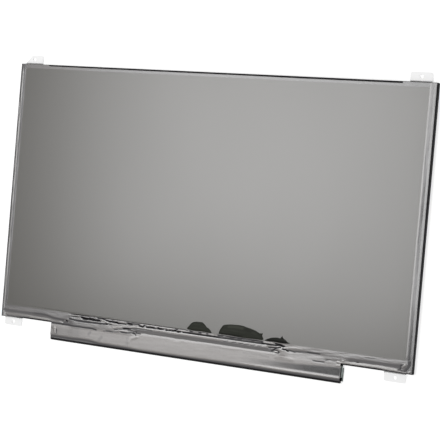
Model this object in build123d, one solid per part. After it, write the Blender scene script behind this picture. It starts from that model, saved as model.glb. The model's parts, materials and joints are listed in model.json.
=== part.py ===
from build123d import *
import os

# Slim laptop screen panel, lying on its back with the screen up.
# X runs along the screen, Y up the screen and Z out of the face. The origin is the middle of the body's
# outline, on the plane that the rear pads rest on. Sizes are in millimetres.

# Picture area, and the borders from it to the body's outline over the edge tapes
active_width = 293.4
active_height = 165.0
left_border = 4.8
right_border = 5.9
upper_border = 3.55
lower_border = 8.75

# Thickness of each layer, from the rear up
pad_depth = 0.25
cover_sheet = 0.30
reflector_thickness = 0.15
guide_thickness = 0.60
diffuser_thickness = 0.10
prism_thickness = 0.12
sheet_headroom = 0.06
ledge_thickness = 0.25
shield_thickness = 0.06
rear_polariser_thickness = 0.14
glass_thickness = 0.50
front_polariser_thickness = 0.18
film_thickness = 0.08
tape_thickness = 0.08

# How far each layer reaches past the picture area
window_margin = 0.8
shield_margin = 1.0
sheet_margin = 1.6
guide_margin = 2.0
rear_polariser_margin = 1.9
front_polariser_margin = 0.7
colour_glass_lower_margin = 1.3
guide_lower_margin = 2.8

# Stamped rear cover: pads, and rims folded up at three sides
pad_columns = 3
pad_rows = 1
pad_gap = 12.0
pad_side_margin = 17.0
pad_upper_margin = 13.0
pad_lower_margin = 18.0
pad_corner = 7.0
cover_rim_height = 1.35
cover_rim_foot = 2.0
cover_rim_end = 3.0
cover_bend = 0.30
cover_corner = 1.0
cover_lower_inset = 0.4
cover_fit = 0.05

# Snaps: lugs on the frame in windows of the cover's rims
side_snaps = 3
top_snaps = 5
snap_length = 6.0
snap_height = 0.40
snap_foot = 0.55
snap_grip = 0.15
snap_gap = 0.1

# Mounting ears, stepped up from the cover's sheet. They stand a little to the left of the body's middle,
# and the upper left one has a slanted outer edge
ear_width = 14.2
ear_inset = 10.35
ear_shift = -1.5
ear_reach = 6.2
ear_root = 2.0
ear_step_start = 0.3
ear_rise = 0.60
ear_slant = 5.2
ear_corner = 1.0
ear_hole_reach = 3.4
ear_hole_diameter = 2.4

# Moulded frame
rim_wall = 1.3
glass_gap = 0.25
frame_corner = 1.0
guide_gap = 0.3
lower_rail_drop = 0.05
guide_tab_length = 6.0
guide_tab_reach = 1.2
guide_tab_y = 30.0

# Light bar along the guide's lower edge
led_count = 42
led_length = 3.6
led_depth = 1.0
led_gap = 0.1
led_window_wall = 0.12
led_window_depth = 0.15
reflector_overlap = 0.3
led_flex_thickness = 0.12
led_flex_overlap = 1.0
led_flex_behind = 1.2
led_flex_gap = 0.4
led_tail_x = 30.0
led_tail_width = 7.0
led_tail_gap = 0.05

# Glass ledge with its driver chips and flexible circuit
glass_ledge = 5.5
driver_ic_count = 4
driver_ic_length = 28.0
driver_ic_width = 1.2
driver_ic_height = 0.30
driver_ic_pitch = 42.0
driver_ic_middle_x = -12.5
driver_ic_setback = 0.9
glass_flex_thickness = 0.07
glass_flex_width = 102.0
glass_flex_x = 7.5
glass_flex_bond = 1.8
glass_flex_on_board = 2.2

# Driver board below the body
board_length = 214.3
board_height = 10.4
board_thickness = 0.60
board_x = -2.4
board_gap = 0.3
board_corner = 0.8
board_notch_radius = 1.1

# Parts on the board's rear face: place along the board, and size
controller_x = 24.0
controller_side = 6.0
controller_height = 0.85
led_driver_x = 52.0
led_driver_side = 3.0
led_driver_height = 0.75
inductor_x = 60.0
inductor_side = 4.0
inductor_height = 1.20
chip_edge = 0.2
capacitor_columns = 6
capacitor_rows = 2
capacitor_length = 1.6
capacitor_width = 0.8
capacitor_height = 0.80
capacitor_pitch = 4.0
capacitor_row_pitch = 3.2
capacitor_middle_x = -18.0

# Signal socket, with its mouth at the board's lower edge
socket_x = -72.0
contact_count = 30
contact_pitch = 0.5
contact_width = 0.2
contact_thickness = 0.1
contact_bend = 0.06
contact_tail = 0.7
contact_recess = 0.5
contact_gap = 0.02
socket_end_wall = 1.6
socket_depth = 3.4
socket_height = 1.0
socket_wall = 0.2
socket_back_wall = 0.5
socket_inset = 0.5
socket_shell_sheet = 0.12
socket_shell_bend = 0.15
socket_shell_gap = 0.04
socket_clearance = 1.5

# Socket for the light bar's tail
led_socket_depth = 3.2
led_socket_height = 0.95
led_socket_end = 1.2
led_socket_inset = 0.6
led_socket_grip = 2.0
led_latch_depth = 0.9
led_latch_height = 0.30

# Black tape round the board's lower edge, and the black sheet behind the board
board_tape_front_leg = 2.0
board_sheet_overhang = 1.0
board_sheet_on_cover = 4.5
board_sheet_corner = 0.8

# Black tape round the left, right and top edges
edge_tape_front_leg = 2.6
edge_tape_rear_leg = 3.0
edge_tape_end_gap = 0.1
top_tape_ear_gap = 5.4

# Protective film: the edges that it leaves bare, and how it drapes over the ledge and the board
film_left_bare = 0.8
film_right_bare = 0.3
film_upper_bare = 1.1
film_lower_bare = 0.9
film_side_gap = 0.3
film_land = 0.3
film_gap = 0.02
film_fall = 1.0
film_bend = 0.25
film_board_overhang = 0.5
film_fold_flat = 0.2
film_rear_leg = 8.5
film_tongue = 1.3
film_tongue_corner = 3.0

# Bend radius of a tape that is creased to an edge
SHARP = 0

# Heights of the layers
z_cover = pad_depth
z_reflector = z_cover + cover_sheet
z_guide = z_reflector + reflector_thickness
z_diffuser = z_guide + guide_thickness
z_lower_prism = z_diffuser + diffuser_thickness
z_upper_prism = z_lower_prism + prism_thickness
z_ledge = z_upper_prism + prism_thickness + sheet_headroom
z_shield = z_ledge + ledge_thickness
z_rear_polariser = z_shield + shield_thickness
z_tft = z_rear_polariser + rear_polariser_thickness
z_colour_glass = z_tft + glass_thickness
z_front_polariser = z_colour_glass + glass_thickness
z_film = z_front_polariser + front_polariser_thickness

# The board's front face is level with the glass ledge
z_board_front = z_colour_glass
z_board = z_board_front - board_thickness
z_board_sheet = z_cover - tape_thickness

# Edges of the body, the picture area and the layers, as (left, right, lower, upper)
body_width = active_width + left_border + right_border
body_height = active_height + upper_border + lower_border
half_width = body_width / 2
half_height = body_height / 2
active_left = -half_width + left_border
active_right = active_left + active_width
active_upper = half_height - upper_border
active_lower = active_upper - active_height


def around_active(margin):
    """Edges of a sheet that reaches past the picture area by the same margin all round."""
    return (active_left - margin, active_right + margin, active_lower - margin, active_upper + margin)


def with_lower(edges, lower):
    """The same edges with another lower one."""
    return (edges[0], edges[1], lower, edges[3])


def grown(edges, margin):
    """The same edges moved outwards by a margin."""
    return (edges[0] - margin, edges[1] + margin, edges[2] - margin, edges[3] + margin)


frame_half = half_width - tape_thickness
frame_upper = half_height - tape_thickness
frame_edges = (-frame_half, frame_half, -half_height, frame_upper)
cover_edges = with_lower(frame_edges, -half_height + cover_lower_inset)
tray_inset = cover_sheet / 2 + cover_bend + cover_fit
tray_half = frame_half - tray_inset
tray_edges = (-tray_half, tray_half, -half_height, frame_upper - tray_inset)

colour_glass_lower = active_lower - colour_glass_lower_margin
tft_lower = colour_glass_lower - glass_ledge
glass_half = frame_half - rim_wall - glass_gap
tft_edges = (-glass_half, glass_half, tft_lower, frame_upper - rim_wall - glass_gap)
colour_glass_edges = with_lower(tft_edges, colour_glass_lower)

guide_lower = active_lower - guide_lower_margin
guide_edges = with_lower(around_active(guide_margin), guide_lower)
led_upper = guide_lower - led_gap
led_lower = led_upper - led_depth
led_flex_lower = led_lower - led_flex_behind
cavity_edges = with_lower(grown(guide_edges, guide_gap), led_flex_lower - led_flex_gap)

driver_ic_upper = colour_glass_lower - driver_ic_setback
driver_ic_lower = driver_ic_upper - driver_ic_width

board_upper = -half_height - board_gap
board_lower = board_upper - board_height
board_middle = (board_upper + board_lower) / 2
board_edges = (board_x - board_length / 2, board_x + board_length / 2, board_lower, board_upper)

socket_half = contact_count * contact_pitch / 2 + socket_end_wall
socket_centre = board_x + socket_x
socket_edges = (
    socket_centre - socket_half,
    socket_centre + socket_half,
    board_lower + socket_inset,
    board_lower + socket_inset + socket_depth,
)
z_socket = z_board - socket_height

led_socket_half = led_tail_width / 2 + led_socket_end
led_socket_upper = board_upper - led_socket_inset
led_socket_edges = (
    led_tail_x - led_socket_half,
    led_tail_x + led_socket_half,
    led_socket_upper - led_socket_depth,
    led_socket_upper,
)

ear_x = half_width - ear_inset
ear_inner = ear_x - ear_width / 2
ear_outer = ear_x + ear_width / 2
top_tape_half = ear_inner - top_tape_ear_gap


def slab(edges, z_low, z_high, corner=0):
    """Flat sheet between (left, right, lower, upper) edges and two heights."""
    left, right, lower, upper = edges
    width = right - left
    height = upper - lower
    outline = RectangleRounded(width, height, corner) if corner else Rectangle(width, height)
    return Pos((left + right) / 2, (lower + upper) / 2, z_low) * extrude(outline, z_high - z_low)


def ring(outer, inner, z_low, z_high, corner=0):
    """Flat frame between outer and inner edges."""
    return slab(outer, z_low, z_high, corner) - slab(inner, z_low, z_high)


def bent_strip(plane, points, bend, thickness, start, end):
    """Bent sheet of even thickness: its mid-line is drawn on the plane, and it runs along the normal."""
    path = FilletPolyline(*points, radius=bend)
    section = plane.offset(start) * trace(path, thickness)
    return extrude(section, end - start, dir=plane.z_dir)


def stamped_pad(x, y, width, height):
    """Pad pressed out of the cover to the rear, and the hollow that it leaves inside."""
    outline = RectangleRounded(width, height, pad_corner)
    pad = extrude(Pos(x, y, z_cover) * outline, pad_depth, dir=(0, 0, -1), taper=45)
    inset = cover_sheet * (2**0.5 - 1)
    hollow_outline = RectangleRounded(width - 2 * inset, height - 2 * inset, pad_corner - inset)
    hollow = extrude(Pos(x, y, z_reflector) * hollow_outline, pad_depth, dir=(0, 0, -1), taper=45)
    return pad, hollow


def folded_rim(plane, edge, start, end):
    """Rim folded up from the cover's sheet, at a distance along the plane's first axis."""
    z_middle = z_cover + cover_sheet / 2
    upright = edge - cover_sheet / 2
    points = [(edge - cover_rim_foot, z_middle), (upright, z_middle), (upright, z_cover + cover_rim_height)]
    return bent_strip(plane, points, cover_bend, cover_sheet, start, end)


def mounting_ear(slant):
    """Upper right ear: a tongue of the cover's sheet that steps up outside the body, with its hole."""
    z_flat = z_cover + cover_sheet / 2
    z_raised = z_flat + ear_rise
    root = frame_upper - ear_root
    step = half_height + ear_step_start
    tip = half_height + ear_reach
    points = [(root, z_flat), (step, z_flat), (step + ear_rise, z_raised), (tip, z_raised)]
    tongue = bent_strip(Plane.YZ, points, cover_bend, cover_sheet, ear_inner, ear_outer)
    outer_corner = [(ear_outer, step), (ear_outer - slant, tip)] if slant else [(ear_outer, tip)]
    outline = FilletPolyline(
        (ear_inner, root),
        (ear_outer, root),
        *outer_corner,
        (ear_inner, tip),
        radius=[0, 0] + [ear_corner] * (len(outer_corner) + 1),
        close=True,
    )
    blank = extrude(make_face(outline), z_raised + cover_sheet)
    hole = extrude(Circle(ear_hole_diameter / 2), z_raised + cover_sheet)
    return (tongue & blank) - Pos(ear_x, half_height + ear_hole_reach) * hole


def snaps(grip, gap):
    """Lugs that stand out of the frame's wall into the rims, or windows for them when a gap is given."""
    z_low = z_cover + snap_foot - gap
    z_high = z_cover + snap_foot + snap_height + gap
    half = snap_length / 2 + gap
    reach = cover_sheet - grip
    side_pitch = (frame_upper - cover_edges[2] - 2 * cover_rim_end) / side_snaps
    side_middle = (frame_upper + cover_edges[2]) / 2
    top_pitch = 2 * top_tape_half / top_snaps
    lugs = []
    for index in range(side_snaps):
        y = side_middle + (index - (side_snaps - 1) / 2) * side_pitch
        lug = slab((tray_half, frame_half - reach, y - half, y + half), z_low, z_high)
        lugs += [lug, mirror(lug, about=Plane.YZ)]
    for index in range(top_snaps):
        x = (index - (top_snaps - 1) / 2) * top_pitch
        lugs.append(slab((x - half, x + half, tray_edges[3], frame_upper - reach), z_low, z_high))
    return lugs


def rear_cover():
    """Stamped tray: sheet with pads, rims folded up at three sides, and four ears."""
    cover = slab(cover_edges, z_cover, z_reflector, cover_corner)
    pad_width = (body_width - 2 * pad_side_margin - (pad_columns - 1) * pad_gap) / pad_columns
    pad_height = (body_height - pad_lower_margin - pad_upper_margin - (pad_rows - 1) * pad_gap) / pad_rows
    for column in range(pad_columns):
        for row in range(pad_rows):
            x = -half_width + pad_side_margin + pad_width / 2 + column * (pad_width + pad_gap)
            y = -half_height + pad_lower_margin + pad_height / 2 + row * (pad_height + pad_gap)
            pad, hollow = stamped_pad(x, y, pad_width, pad_height)
            cover = cover + pad - hollow

    side_lower = cover_edges[2] + cover_rim_end
    side_upper = frame_upper - cover_rim_end
    side_flat_edges = (frame_half - cover_rim_foot, frame_half, side_lower, side_upper)
    side_flat = slab(side_flat_edges, z_cover, z_reflector)
    side_rim = folded_rim(Plane.XZ, frame_half, -side_upper, -side_lower)
    top_flat_edges = (-top_tape_half, top_tape_half, frame_upper - cover_rim_foot, frame_upper)
    top_flat = slab(top_flat_edges, z_cover, z_reflector)
    top_rim = folded_rim(Plane.YZ, frame_upper, -top_tape_half, top_tape_half)
    cover = cover - side_flat - mirror(side_flat, about=Plane.YZ) - top_flat
    cover = cover + side_rim + mirror(side_rim, about=Plane.YZ) + top_rim
    for window in snaps(cover_sheet, snap_gap):
        cover = cover - window

    upper_right = mounting_ear(0)
    upper_left = mirror(mounting_ear(ear_slant), about=Plane.YZ)
    lower_right = mirror(upper_right, about=Plane.XZ)
    lower_left = mirror(lower_right, about=Plane.YZ)
    ears = upper_right + upper_left + lower_right + lower_left
    return cover + Pos(ear_shift, 0) * ears


def guide_tabs(gap):
    """Locating tabs at both sides of the light guide, or the recesses for them when a gap is given."""
    tab_half = guide_tab_length / 2 + gap
    reach = guide_tab_reach + gap
    lower = guide_tab_y - tab_half
    upper = guide_tab_y + tab_half
    return [(0, guide_edges[1] + reach, lower, upper), (guide_edges[0] - reach, 0, lower, upper)]


def mould_frame():
    """Moulded frame: wall round the light guide, ledge for the cell, and rim round the glass."""
    wall = ring(tray_edges, cavity_edges, z_reflector, z_ledge, frame_corner)
    for tab in guide_tabs(guide_gap):
        wall = wall - slab(tab, z_reflector, z_ledge)
    for lug in snaps(snap_grip, 0):
        wall = wall + lug
    ledge = ring(frame_edges, around_active(window_margin), z_ledge, z_shield, frame_corner)
    rim = ring(frame_edges, grown(tft_edges, glass_gap), z_shield, z_front_polariser, frame_corner)
    low_rail = (-half_width, half_width, -half_height, tft_lower - glass_gap)
    rim = rim - slab(low_rail, z_colour_glass - lower_rail_drop, z_front_polariser)
    slot_half = led_tail_width / 2 + led_tail_gap
    slot_edges = (led_tail_x - slot_half, led_tail_x + slot_half, -half_height, cavity_edges[2])
    slot = slab(slot_edges, z_diffuser - led_tail_gap, z_diffuser + led_flex_thickness + led_tail_gap)
    return wall + ledge + rim - slot


def reflector_sheet():
    """White sheet under the light guide and the LEDs."""
    return slab(with_lower(guide_edges, led_lower - reflector_overlap), z_reflector, z_guide)


def light_guide():
    """Clear guide plate with locating tabs at its sides."""
    guide = slab(guide_edges, z_guide, z_diffuser)
    for tab in guide_tabs(0):
        guide = guide + slab(tab, z_guide, z_diffuser)
    return guide


def optical_sheet(z_low, thickness):
    """Diffuser or prism sheet above the light guide."""
    return slab(around_active(sheet_margin), z_low, z_low + thickness)


def leds():
    """Row of side-firing LEDs against the guide's lower edge, each with a recessed window."""
    body = Box(led_length, led_depth, guide_thickness)
    window = Box(led_length - 2 * led_window_wall, led_window_depth, guide_thickness - 2 * led_window_wall)
    led = body - Pos(0, (led_depth - led_window_depth) / 2) * window
    pitch = (guide_edges[1] - guide_edges[0]) / led_count
    y = (led_upper + led_lower) / 2
    z = z_guide + guide_thickness / 2
    places = [guide_edges[0] + (index + 0.5) * pitch for index in range(led_count)]
    return Compound([Pos(x, y, z) * led for x in places])


def led_flex():
    """Flexible circuit over the LEDs, with a tail through the frame to its socket on the board."""
    strip_edges = (guide_edges[0], guide_edges[1], led_flex_lower, guide_lower + led_flex_overlap)
    tail_half = led_tail_width / 2
    tail_edges = (
        led_tail_x - tail_half,
        led_tail_x + tail_half,
        led_socket_upper - led_socket_grip,
        led_flex_lower,
    )
    z_top = z_diffuser + led_flex_thickness
    return slab(strip_edges, z_diffuser, z_top) + slab(tail_edges, z_diffuser, z_top)


def light_shield_tape():
    """Ring of black tape between the frame's ledge and the cell."""
    return ring(tft_edges, around_active(shield_margin), z_shield, z_rear_polariser)


def driver_ic(index):
    """One long driver chip on the glass ledge."""
    x = driver_ic_middle_x + (index - (driver_ic_count - 1) / 2) * driver_ic_pitch
    edges = (x - driver_ic_length / 2, x + driver_ic_length / 2, driver_ic_lower, driver_ic_upper)
    return slab(edges, z_colour_glass, z_colour_glass + driver_ic_height)


def glass_flex():
    """Flexible circuit from the glass ledge over the frame's lower rail to the board."""
    edges = (
        glass_flex_x - glass_flex_width / 2,
        glass_flex_x + glass_flex_width / 2,
        board_upper - glass_flex_on_board,
        tft_lower + glass_flex_bond,
    )
    return slab(edges, z_colour_glass, z_colour_glass + glass_flex_thickness)


def driver_board():
    """Long narrow circuit board with a notch in each end."""
    board = slab(board_edges, z_board, z_board_front, board_corner)
    notch = extrude(Circle(board_notch_radius), board_thickness)
    for x in board_edges[:2]:
        board = board - Pos(x, board_middle, z_board) * notch
    return board


def square_part(x, side, height):
    """Square part with cut corners, hanging from the board's rear face."""
    outline = chamfer(Rectangle(side, side).vertices(), chip_edge)
    return Pos(board_x + x, board_middle, z_board - height) * extrude(outline, height)


def boost_inductor():
    """Square inductor with round corners."""
    outline = RectangleRounded(inductor_side, inductor_side, inductor_side / 4)
    place = Pos(board_x + inductor_x, board_middle, z_board - inductor_height)
    return place * extrude(outline, inductor_height)


def board_capacitors():
    """Rows of chip capacitors."""
    part = Box(capacitor_length, capacitor_width, capacitor_height)
    centre = Pos(board_x + capacitor_middle_x, board_middle, z_board - capacitor_height / 2)
    places = GridLocations(capacitor_pitch, capacitor_row_pitch, capacitor_columns, capacitor_rows)
    return Compound([centre * place * part for place in places])


def socket_mouth():
    """Space for the plug: its edges, and its lower and upper heights."""
    half = contact_count * contact_pitch / 2
    edges = (
        socket_centre - half,
        socket_centre + half,
        socket_edges[2],
        socket_edges[3] - socket_back_wall,
    )
    return edges, z_socket + socket_wall, z_board - socket_wall


def socket_housing():
    """Socket body with a mouth for the plug and a slot in its back wall for the contacts."""
    mouth, z_low, z_high = socket_mouth()
    back_slot = (mouth[0], mouth[1], mouth[3], socket_edges[3])
    housing = slab(socket_edges, z_socket, z_board) - slab(mouth, z_low, z_high)
    return housing - slab(back_slot, z_high - contact_thickness - contact_gap, z_high)


def socket_shell():
    """Metal cover over the socket's rear face and both ends."""
    half = socket_half + socket_shell_gap + socket_shell_sheet / 2
    z_middle = z_socket - socket_shell_gap - socket_shell_sheet / 2
    left = socket_centre - half
    right = socket_centre + half
    points = [(left, z_board), (left, z_middle), (right, z_middle), (right, z_board)]
    return bent_strip(
        Plane.XZ, points, socket_shell_bend, socket_shell_sheet, -socket_edges[3], -socket_edges[2]
    )


def socket_contacts():
    """Row of contacts along the mouth's upper wall, each bent up to the board behind the socket."""
    mouth, _, z_high = socket_mouth()
    z_beam = z_high - contact_thickness / 2
    z_tail = z_board - contact_thickness / 2
    heel = socket_edges[3] + contact_thickness / 2 + contact_gap
    tip = mouth[2] + contact_recess
    points = [(tip, z_beam), (heel, z_beam), (heel, z_tail), (heel + contact_tail, z_tail)]
    places = [
        socket_centre + (index - (contact_count - 1) / 2) * contact_pitch for index in range(contact_count)
    ]
    half = contact_width / 2
    return Compound(
        [bent_strip(Plane.YZ, points, contact_bend, contact_thickness, x - half, x + half) for x in places]
    )


def led_socket():
    """Socket body, open upwards along the board, that grips the light bar's tail."""
    tail_half = led_tail_width / 2 + led_tail_gap
    slot_edges = (
        led_tail_x - tail_half,
        led_tail_x + tail_half,
        led_socket_upper - led_socket_grip - led_tail_gap,
        led_socket_upper,
    )
    body = slab(led_socket_edges, z_board - led_socket_height, z_board)
    slot = slab(slot_edges, z_diffuser - led_tail_gap, z_diffuser + led_flex_thickness + led_tail_gap)
    return body - slot


def led_socket_latch():
    """Flip bar along the rear of the tail's socket."""
    left, right, lower, _ = led_socket_edges
    z_top = z_board - led_socket_height
    return slab((left, right, lower, lower + led_latch_depth), z_top - led_latch_height, z_top)


def board_edge_tape():
    """Black tape on the board's front face, folded down over its lower edge."""
    z_front = z_board_front + tape_thickness / 2
    fold = board_lower - tape_thickness / 2
    points = [(board_lower + board_tape_front_leg, z_front), (fold, z_front), (fold, z_board)]
    return bent_strip(Plane.YZ, points, SHARP, tape_thickness, board_edges[0], board_edges[1])


def board_cover_sheet():
    """Black sheet on the cover's rear face, behind the board, with a window at the signal socket."""
    edges = (
        board_edges[0] - board_sheet_overhang,
        board_edges[1] + board_sheet_overhang,
        board_lower,
        cover_edges[2] + board_sheet_on_cover,
    )
    left, right, _, upper = grown(socket_edges, socket_clearance)
    window = slab((left, right, board_lower, upper), z_board_sheet, z_cover)
    return slab(edges, z_board_sheet, z_cover, board_sheet_corner) - window


def side_edge_tape():
    """Black tape round the right edge, from the rim to the cover's rear face."""
    x = half_width - tape_thickness / 2
    z_front = z_front_polariser + tape_thickness / 2
    z_rear = z_cover - tape_thickness / 2
    points = [
        (half_width - edge_tape_front_leg, z_front),
        (x, z_front),
        (x, z_rear),
        (half_width - edge_tape_rear_leg, z_rear),
    ]
    end = half_height - edge_tape_end_gap
    return bent_strip(Plane.XZ, points, SHARP, tape_thickness, -end, end)


def top_edge_tape():
    """Black tape round the top edge, between the ears."""
    y = half_height - tape_thickness / 2
    z_front = z_front_polariser + tape_thickness / 2
    z_rear = z_cover - tape_thickness / 2
    points = [
        (half_height - edge_tape_front_leg, z_front),
        (y, z_front),
        (y, z_rear),
        (half_height - edge_tape_rear_leg, z_rear),
    ]
    return bent_strip(Plane.YZ, points, SHARP, tape_thickness, -top_tape_half, top_tape_half)


def protective_film():
    """Clear film on the face that drapes over the glass ledge, the lower rail and the board."""
    left = -half_width + film_left_bare
    right = half_width - film_right_bare
    upper = half_height - film_upper_bare
    land = active_lower - front_polariser_margin - film_land
    film = slab((left, right, land, upper), z_film, z_film + film_thickness)
    for corner in ((left, -top_tape_half), (top_tape_half, right)):
        film = film + slab((*corner, upper, half_height), z_film, z_film + film_thickness)
    tape_inner = half_width - edge_tape_front_leg
    for corner in ((left, -tape_inner), (tape_inner, right)):
        film = film + slab((*corner, -half_height + film_lower_bare, land), z_film, z_film + film_thickness)

    z_shelf = z_colour_glass + driver_ic_height + film_gap + film_thickness / 2
    z_strip = z_board_front + max(glass_flex_thickness, tape_thickness) + film_gap + film_thickness / 2
    shelf_lower = driver_ic_lower - film_land
    drape = [
        (active_lower, z_film + film_thickness / 2),
        (land, z_film + film_thickness / 2),
        (driver_ic_upper + film_land, z_shelf),
        (shelf_lower, z_shelf),
        (shelf_lower - film_fall, z_strip),
    ]
    rail_half = tape_inner - film_side_gap
    over_rail = drape + [(-half_height + film_lower_bare, z_strip)]
    film = film + bent_strip(Plane.YZ, over_rail, film_bend, film_thickness, -rail_half, rail_half)

    z_rear = z_board_sheet - film_gap - film_thickness / 2
    turn = (z_strip - z_rear - film_fold_flat) / 2
    fold = board_lower - turn
    rear_end = board_lower + film_rear_leg
    over_board = drape + [(fold, z_strip), (fold, z_rear), (rear_end, z_rear)]
    bends = [film_bend] * (len(drape) - 1) + [turn, turn]
    strip_left = board_edges[0] - film_board_overhang
    strip_right = board_edges[1] + film_board_overhang
    film = film + bent_strip(Plane.YZ, over_board, bends, film_thickness, strip_left, strip_right)
    tongue_edges = (strip_right - 2 * film_tongue_corner, strip_right + film_tongue, board_lower, rear_end)
    z_tongue = z_rear - film_thickness / 2
    return film + slab(tongue_edges, z_tongue, z_tongue + film_thickness, film_tongue_corner)


parts = {
    "rear_cover": rear_cover(),
    "mould_frame": mould_frame(),
    "reflector_sheet": reflector_sheet(),
    "light_guide": light_guide(),
    "diffuser_sheet": optical_sheet(z_diffuser, diffuser_thickness),
    "lower_prism_sheet": optical_sheet(z_lower_prism, prism_thickness),
    "upper_prism_sheet": optical_sheet(z_upper_prism, prism_thickness),
    "leds": leds(),
    "led_flex": led_flex(),
    "light_shield_tape": light_shield_tape(),
    "rear_polariser": slab(around_active(rear_polariser_margin), z_rear_polariser, z_tft),
    "tft_glass": slab(tft_edges, z_tft, z_colour_glass),
    "colour_filter_glass": slab(colour_glass_edges, z_colour_glass, z_front_polariser),
    "front_polariser": slab(around_active(front_polariser_margin), z_front_polariser, z_film),
    "glass_flex": glass_flex(),
    "driver_board": driver_board(),
    "timing_controller": square_part(controller_x, controller_side, controller_height),
    "led_driver": square_part(led_driver_x, led_driver_side, led_driver_height),
    "boost_inductor": boost_inductor(),
    "board_capacitors": board_capacitors(),
    "socket_housing": socket_housing(),
    "socket_shell": socket_shell(),
    "socket_contacts": socket_contacts(),
    "led_socket": led_socket(),
    "led_socket_latch": led_socket_latch(),
    "board_edge_tape": board_edge_tape(),
    "board_cover_sheet": board_cover_sheet(),
    "right_edge_tape": side_edge_tape(),
    "left_edge_tape": mirror(side_edge_tape(), about=Plane.YZ),
    "top_edge_tape": top_edge_tape(),
    "protective_film": protective_film(),
}
for index in range(driver_ic_count):
    parts[f"driver_ic_{index + 1}"] = driver_ic(index)

os.makedirs("parts", exist_ok=True)
for name, part in parts.items():
    export_step(part, f"parts/{name}.step")
    print(name, round(part.volume, 2))
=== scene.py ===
import json
import math
from collections import namedtuple

import bpy
import numpy as np
from mathutils import Matrix, Vector


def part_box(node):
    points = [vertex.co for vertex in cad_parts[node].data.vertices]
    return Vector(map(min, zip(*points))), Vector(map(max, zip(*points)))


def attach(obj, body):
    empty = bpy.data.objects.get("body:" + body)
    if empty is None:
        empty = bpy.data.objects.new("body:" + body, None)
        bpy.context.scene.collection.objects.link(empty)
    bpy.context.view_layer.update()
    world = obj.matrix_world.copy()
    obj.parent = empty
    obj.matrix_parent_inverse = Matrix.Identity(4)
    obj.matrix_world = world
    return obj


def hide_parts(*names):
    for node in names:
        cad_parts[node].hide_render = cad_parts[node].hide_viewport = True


# Laptop screen panel on its back under a soft box, seen from above and from its right

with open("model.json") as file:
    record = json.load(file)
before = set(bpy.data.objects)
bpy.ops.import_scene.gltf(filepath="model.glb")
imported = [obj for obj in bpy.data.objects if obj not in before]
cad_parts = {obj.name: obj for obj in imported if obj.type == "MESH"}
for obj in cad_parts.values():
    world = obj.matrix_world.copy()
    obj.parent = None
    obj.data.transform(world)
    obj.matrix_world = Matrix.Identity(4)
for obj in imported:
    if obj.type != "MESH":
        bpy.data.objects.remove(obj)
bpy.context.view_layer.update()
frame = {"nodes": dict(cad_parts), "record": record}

MM = 0.001


def corners(node):
    """Lowest and highest corner of a piece, in millimetres."""
    low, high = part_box(node)
    return np.array(low) / MM, np.array(high) / MM


def add_object(name, data):
    """New object in the scene."""
    made = bpy.data.objects.new(name, data)
    bpy.context.scene.collection.objects.link(made)
    return made


def ease(value, start, end):
    """Smooth step from 0 at start to 1 at end."""
    share = np.clip((value - start) / (end - start), 0, 1)
    return share * share * (3 - 2 * share)


def window(value, rise, full, fade, end):
    """Smooth plateau: 0 up to rise, 1 from full to fade, and 0 again from end."""
    return ease(value, rise, full) * (1 - ease(value, fade, end))


def hump(value, middle, width):
    """Smooth hill of height 1."""
    return np.exp(-(((value - middle) / width) ** 2))


def field(across, down, seed):
    """Smooth random field from -1 to 1, with one hill or hollow for each unit of the two positions."""
    size = 512
    table = np.random.default_rng(seed).uniform(-1, 1, (size, size))
    column = np.floor(across).astype(int)
    row = np.floor(down).astype(int)
    u = across - column
    v = down - row
    u = u**3 * (u * (6 * u - 15) + 10)
    v = v**3 * (v * (6 * v - 15) + 10)
    left, right = column % size, (column + 1) % size
    upper, lower = row % size, (row + 1) % size
    near = table[left, upper] * (1 - u) + table[right, upper] * u
    far = table[left, lower] * (1 - u) + table[right, lower] * u
    return near * (1 - v) + far * v


# Materials

def new_material(name):
    """Material with its node tree and shader."""
    material = bpy.data.materials.new(name)
    material.use_nodes = True
    tree = material.node_tree
    return material, tree, tree.nodes["Principled BSDF"]


def set_inputs(node, values):
    """Fixed values on a node's sockets."""
    for name, value in values.items():
        node.inputs[name].default_value = value


def noise(tree, density, detail=3.0):
    """Noise over the part, with its density in features per metre: one number, or one for each axis."""
    place = tree.nodes.new("ShaderNodeTexCoord")
    mapping = tree.nodes.new("ShaderNodeMapping")
    texture = tree.nodes.new("ShaderNodeTexNoise")
    mapping.inputs["Scale"].default_value = density if isinstance(density, tuple) else (density,) * 3
    set_inputs(texture, {"Scale": 1.0, "Detail": detail})
    tree.links.new(place.outputs["Object"], mapping.inputs["Vector"])
    tree.links.new(mapping.outputs["Vector"], texture.inputs["Vector"])
    return texture.outputs["Fac"]


def ramp(tree, factor, stops):
    """Colours along a factor, as (position, colour) stops."""
    node = tree.nodes.new("ShaderNodeValToRGB")
    elements = node.color_ramp.elements
    while len(elements) < len(stops):
        elements.new(0.5)
    for element, (position, colour) in zip(elements, stops):
        element.position = position
        element.color = (*colour, 1)
    tree.links.new(factor, node.inputs["Fac"])
    return node.outputs["Color"]


def span(tree, factor, low, high):
    """Numbers from low to high over the middle of a noise's range."""
    node = tree.nodes.new("ShaderNodeMapRange")
    set_inputs(node, {"From Min": 0.3, "From Max": 0.7, "To Min": low, "To Max": high})
    tree.links.new(factor, node.inputs["Value"])
    return node.outputs["Result"]


def relief(tree, shader, height, depth):
    """Fine relief of a depth in metres."""
    node = tree.nodes.new("ShaderNodeBump")
    node.inputs["Distance"].default_value = depth
    tree.links.new(height, node.inputs["Height"])
    tree.links.new(node.outputs["Normal"], shader.inputs["Normal"])


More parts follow.
